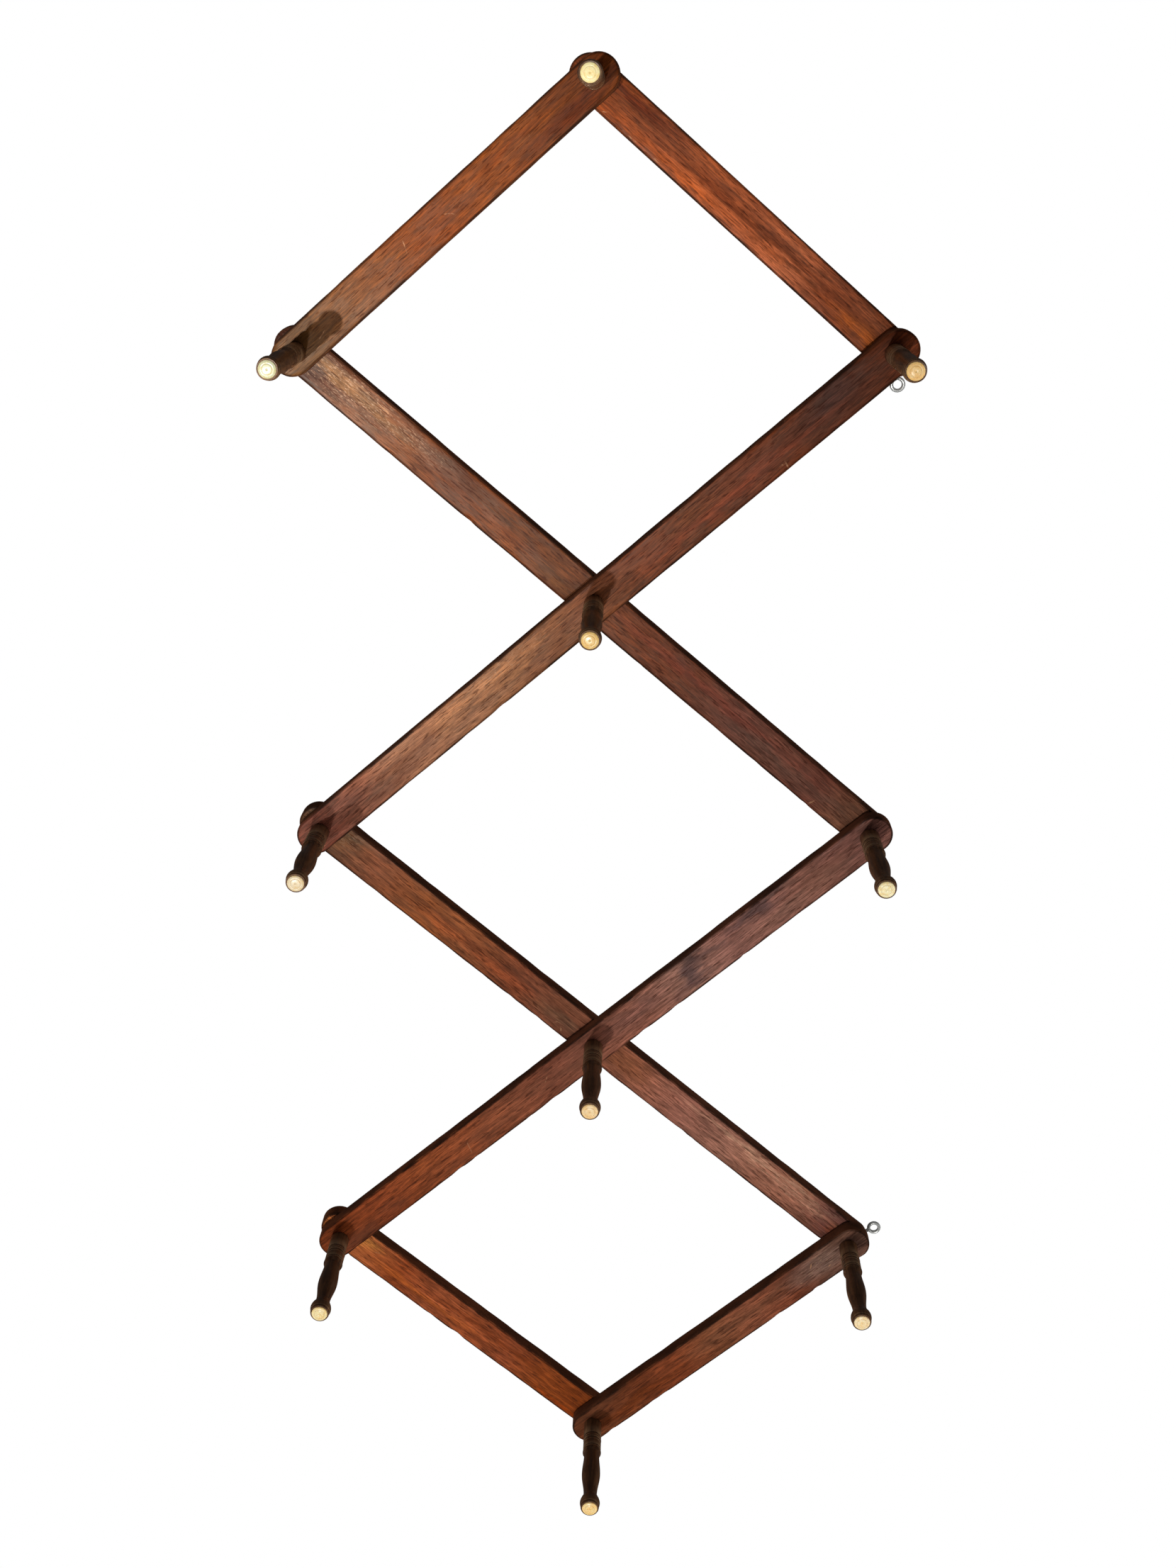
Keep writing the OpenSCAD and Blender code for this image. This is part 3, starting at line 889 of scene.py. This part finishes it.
def wear_and_highlights_of_peg(radius, z, reach):
    """Paler places of a peg: its rubbed end rim and ball, and painted highlights on the lips of its grooves.
    """
    if radius < (TENON_R + 0.2 * MM) or z < 0:
        return 0.0
    on_end = z > reach - 0.6 * MM
    rim = 0.25 * near(radius, (BUTTON_R + 0.56) * MM, 0.17 * MM) if on_end else 0.0
    # Painted highlights on the lips of the grooves
    lips = sum(near(z, at * MM, 0.4 * MM) for at in LIP_HIGHLIGHTS) * 0.7
    ball = near(z, BALL_WIDEST * MM, 1.6 * MM) * 0.16
    return min(rim + lips + ball, 1.0)


def build_peg(name, seed):
    """A turned peg with its tenon, and the ivory button let into its end."""
    at = pivot(name)
    low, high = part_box("peg_" + name)
    slat = next(node for node, names in SLAT_PIVOTS.items() if node.startswith("front") and name in names)
    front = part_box(slat)[0].y
    reach = front - low.y
    place = facing(Vector((at.x, front, at.z)), Vector((1.0, 0.0, 0.0)))
    place @= Matrix.Rotation(math.radians(PEG_TURN * seed), 4, "Z")

    peg = lathe("turned_peg_" + name, peg_outline(reach / MM, (high.y - front) / MM))
    pilot = lathe("cutter", PILOT_HOLE, 48)
    cut(peg, [pilot])
    set_edge(peg, [wear_and_highlights_of_peg(math.hypot(x, y), z, reach) for x, y, z in corners_of(peg)])
    shade(peg)
    peg.data.materials.append(turned_wood("peg_stain_" + name, seed))
    bring(peg, place)
    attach(peg, BODY_OF["peg_" + name])
    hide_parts("peg_" + name)

    base = reach - BUTTON_DEPTH * MM
    crown = []
    for k in range(CROWN_STEPS + 1):
        share = 1 - k / CROWN_STEPS
        height = BUTTON_CROWN * math.sqrt(max(1 - share ** 2.6, 0.0))
        height -= 0.14 * near(share, RING_MARK, 0.05) + 0.22 * near(share, 0.0, 0.10)
        crown.append((BUTTON_R * share * MM, reach + height * MM))
    button = lathe("ivory_button_" + name, [(0.0, base), (BUTTON_R * MM, base)] + crown)
    dirt = []
    for x, y, z in corners_of(button):
        share = math.hypot(x, y) / (BUTTON_R * MM)
        mark = 0.55 * near(share, RING_MARK, 0.06) + 0.5 * near(share, 0.0, 0.12)
        dirt.append(min(mark + max(0.0, (share - 0.90) / 0.10), 1.0))
    set_edge(button, dirt)
    shade(button, 50.0)
    button.data.materials.append(ivory("ivory_" + name, IVORY[name], seed))
    bring(button, place)
    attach(button, BODY_OF["button_" + name])
    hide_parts("button_" + name)


def build_eye(eye):
    """A hanging eye: wire bent to a ring with a small gap, its neck, and a shank in the slat's end."""
    slat, at = EYE_SLATS[eye]
    along, middle, straight, _, _ = slat_frame(slat)
    place = facing(middle, along)
    start, direction = eye_axis(eye, at, place, straight)
    ring = place.inverted() @ Vector(MOUNTS[eye]["pos_m"])
    hole = MOUNTS[eye]["dims"]["r_mm"] * MM
    wire = (EYE_RING_OUTER - hole) / 2
    mean = hole + wire
    back = -direction
    across = Vector((0.0, 0.0, 1.0)).cross(back)

    stem = start + direction * EYE_SHANK_START
    path = [stem.lerp(ring + back * (mean + wire * 0.9), k / 10) for k in range(11)]
    radii = [(EYE_SHANK_R, EYE_SHANK_R)] * 10 + [(wire, EYE_WIRE_R * 0.9)]
    for k in range(EYE_TURN_STEPS + 1):
        angle = (2 * math.pi - EYE_OPENING) * k / EYE_TURN_STEPS
        path.append(ring + back * (mean * math.cos(angle)) + across * (mean * math.sin(angle)))
        radii.append((wire, EYE_WIRE_R))
    made = tube("wire_" + eye, path, radii, Vector((0.0, 0.0, 1.0)))
    shade(made, 60.0)
    made.data.materials.append(metal("plate_" + eye, EYE_PLATE, 0.04, 3))
    bring(made, place)
    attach(made, BODY_OF[eye])
    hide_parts(eye)


def tube(name, path, radii, upright, steps=28):
    """A wire swept along a flat path, its section an ellipse with one radius in the plane and one upright."""
    points = []
    for k, centre in enumerate(path):
        ahead = path[min(k + 1, len(path) - 1)] - path[max(k - 1, 0)]
        sideways = upright.cross(ahead).normalized()
        in_plane, standing = radii[k]
        for j in range(steps):
            a = 2 * math.pi * j / steps
            points.append(centre + sideways * (in_plane * math.cos(a)) + upright * (standing * math.sin(a)))
    faces = band_faces(len(path), steps)
    for end, centre in ((0, path[0]), (len(path) - 1, path[-1])):
        points.append(centre)
        hub = len(points) - 1
        faces += [(end * steps + j, end * steps + (j + 1) % steps, hub) for j in range(steps)]
    return mesh_object(name, points, faces)


def joined(name, pieces):
    """One object from several, each at its own place."""
    work = bmesh.new()
    for piece in pieces:
        part = piece.data.copy()
        part.transform(piece.matrix_world)
        work.from_mesh(part)
        bpy.data.objects.remove(piece)
    mesh = bpy.data.meshes.new(name)
    work.to_mesh(mesh)
    work.free()
    made = bpy.data.objects.new(name, mesh)
    bpy.context.scene.collection.objects.link(made)
    return made


def build_fasteners(group, names, seed):
    """The washers and slotted pan-head screws behind one front slat's pivots."""
    washers, screws = [], []
    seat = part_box("washers_" + group)[0].y
    r_in, r_out, t, soft = SCREW_R + WASHER_PLAY, WASHER_R, -WASHER_T, 0.12 * MM
    head = [(HEAD_R, t), (HEAD_R, t - HEAD_EDGE)]
    head += [
        ((HEAD_R - HEAD_ROUND) + HEAD_ROUND * math.cos(a), t - HEAD_EDGE - HEAD_CROWN * math.sin(a))
        for a in (math.pi / 2 * j / 8 for j in range(1, 9))
    ]
    shank = [(0.0, SCREW_TIP), (SCREW_R * 0.4, SCREW_TIP), (SCREW_R, SCREW_TAPER), (SCREW_R, t)]
    for k, name in enumerate(names):
        at = pivot(name)
        place = facing(Vector((at.x, seat, at.z)), Vector((1.0, 0.0, 0.0)))
        washer = lathe("washer", [
            (r_in, -soft), (r_in + soft, 0.0), (r_out - soft, 0.0), (r_out, -soft),
            (r_out, t + soft), (r_out - 2 * soft, t), (r_in + soft, t), (r_in, t + soft), (r_in, -soft),
        ])
        washer.matrix_world = place
        washers.append(washer)
        screw = lathe("screw", shank + head + [(0.0, t - HEAD_HEIGHT)])
        cut(screw, [box_mesh("cutter", SCREW_SLOT, (0.0, 0.0, t - HEAD_HEIGHT))])
        slot_turn = math.radians(23 + 61 * k + 17 * seed)
        screw.matrix_world = place @ Matrix.Rotation(slot_turn, 4, "Z")
        screws.append(screw)
    for kind, node, pieces, plate in (
        ("washer_set_", "washers_" + group, washers, WASHER_PLATE),
        ("screw_set_", "screws_" + group, screws, SCREW_PLATE),
    ):
        made = joined(kind + group, pieces)
        shade(made, 40.0)
        bring(made, Matrix())
        made.data.materials.append(metal(kind + "plate_" + group, plate, 0.10, seed))
        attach(made, BODY_OF[node])
        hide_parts(node)


def box_mesh(name, size, centre):
    """A closed box."""
    half = Vector(size) / 2
    middle = Vector(centre)
    signs = [(x, y, z) for x in (-1, 1) for y in (-1, 1) for z in (-1, 1)]
    points = [middle + Vector((half.x * x, half.y * y, half.z * z)) for x, y, z in signs]
    faces = [(0, 1, 3, 2), (4, 6, 7, 5), (0, 4, 5, 1), (2, 3, 7, 6), (0, 2, 6, 4), (1, 5, 7, 3)]
    return mesh_object(name, points, faces)


def light(name, kind, place, aim, **settings):
    """A lamp at a place, turned to a point."""
    data = bpy.data.lights.new(name, kind)
    for key, value in settings.items():
        setattr(data, key, value)
    made = bpy.data.objects.new(name, data)
    made.location = place
    made.rotation_euler = (aim - place).to_track_quat("-Z", "Y").to_euler()
    bpy.context.scene.collection.objects.link(made)
    return made


def plain_glow(name, colour):
    """Pale backdrop paper that lights nothing."""
    material = bpy.data.materials.new(name)
    material.use_nodes = True
    tree = material.node_tree
    tree.nodes.clear()
    glow = tree.nodes.new("ShaderNodeEmission")
    glow.inputs["Color"].default_value = linear(colour)
    output = tree.nodes.new("ShaderNodeOutputMaterial")
    tree.links.new(glow.outputs[0], output.inputs["Surface"])
    return material


def backdrop(name, made, material):
    """Marks a stage object that only the camera sees."""
    made.name = name
    made.data.materials.append(material)
    made.visible_diffuse = False
    made.visible_glossy = False
    made.visible_transmission = False
    made.visible_shadow = False


DOME_R = 9.0
FLOOR_R = 4.0
FLOOR_T = 0.02
FLOOR_DROP = 2.6


def build_stage():
    """White floor and surround, two lamps from the left below the camera, and soft fills all round."""
    middle = (cad_box[0] + cad_box[1]) / 2
    turns = [math.pi * k / 24 for k in range(25)]
    dome = lathe("surround", [(DOME_R * math.sin(a), -DOME_R * math.cos(a)) for a in turns], 48)
    dome.location = middle
    backdrop("surround", dome, plain_glow("surround_paper", PAPER))
    floor = lathe("floor", [(0.0, 0.0), (FLOOR_R, 0.0), (FLOOR_R, -FLOOR_T), (0.0, -FLOOR_T)], 64)
    floor.location = (middle.x, middle.y, middle.z - FLOOR_DROP)
    backdrop("floor", floor, plain_glow("floor_paper", PAPER))

    # One lamp from the left pools on the upper left, and a second one nearer the middle reaches everywhere
    light(
        "pool", "SPOT", Vector((-1.62, -5.0, -1.02)), Vector((-0.46, 0.0, 0.06)),
        energy=1700.0, shadow_soft_size=0.05, spot_size=math.radians(9.4), spot_blend=1.0,
        color=(1.0, 0.97, 0.92),
    )
    light(
        "key", "AREA", Vector((-0.55, -5.0, -1.02)), middle,
        energy=104.0, size=0.12, color=(1.0, 0.98, 0.95),
    )
    # Name, place from the rack's middle, energy and size of each soft fill, which leaves no highlights
    soft = [
        ("front_fill", Vector((0.3, -3.0, -0.9)), 42.0, 1.6),
        ("rear_fill", Vector((-0.4, 2.8, -2.0)), 135.0, 1.0),
        ("left_fill", Vector((-2.7, 0.1, -1.1)), 46.0, 1.6),
        ("right_fill", Vector((2.7, 0.1, -1.1)), 46.0, 1.6),
        ("top_fill", Vector((0.0, 0.2, 2.6)), 12.0, 1.6),
    ]
    for name, offset, energy, size in soft:
        made = light(name, "AREA", middle + offset, middle, energy=energy, size=size)
        made.visible_glossy = False
    world = bpy.data.worlds.new("studio")
    world.use_nodes = True
    world.node_tree.nodes["Background"].inputs["Color"].default_value = (1.0, 1.0, 1.0, 1.0)
    world.node_tree.nodes["Background"].inputs["Strength"].default_value = 0.05
    bpy.context.scene.world = world
    bpy.context.scene.view_settings.view_transform = "Standard"


def build_camera():
    """The camera stands in front of the rack, a little above it, and looks down at 19 degrees."""
    data = bpy.data.cameras.new("camera")
    data.lens = 42.45
    data.sensor_width = 36.0
    data.clip_start = 0.05
    data.clip_end = 40.0
    camera = bpy.data.objects.new("camera", data)
    camera.location = (-0.1385, -1.0172, 0.1204)
    camera.rotation_euler = (math.radians(90 - 18.97), 0.0, math.radians(1.6))
    bpy.context.scene.collection.objects.link(camera)
    bpy.context.scene.camera = camera


for number, slat_node in enumerate(SLAT_PIVOTS):
    build_slat(slat_node, number + 1)
for number, peg_name in enumerate(PEGS):
    build_peg(peg_name, number)
for eye_name in EYE_SLATS:
    build_eye(eye_name)
for number, slat_node in enumerate(n for n in SLAT_PIVOTS if n.startswith("front")):
    build_fasteners(slat_node.replace("front_slat_", ""), SLAT_PIVOTS[slat_node], number)
build_stage()
build_camera()
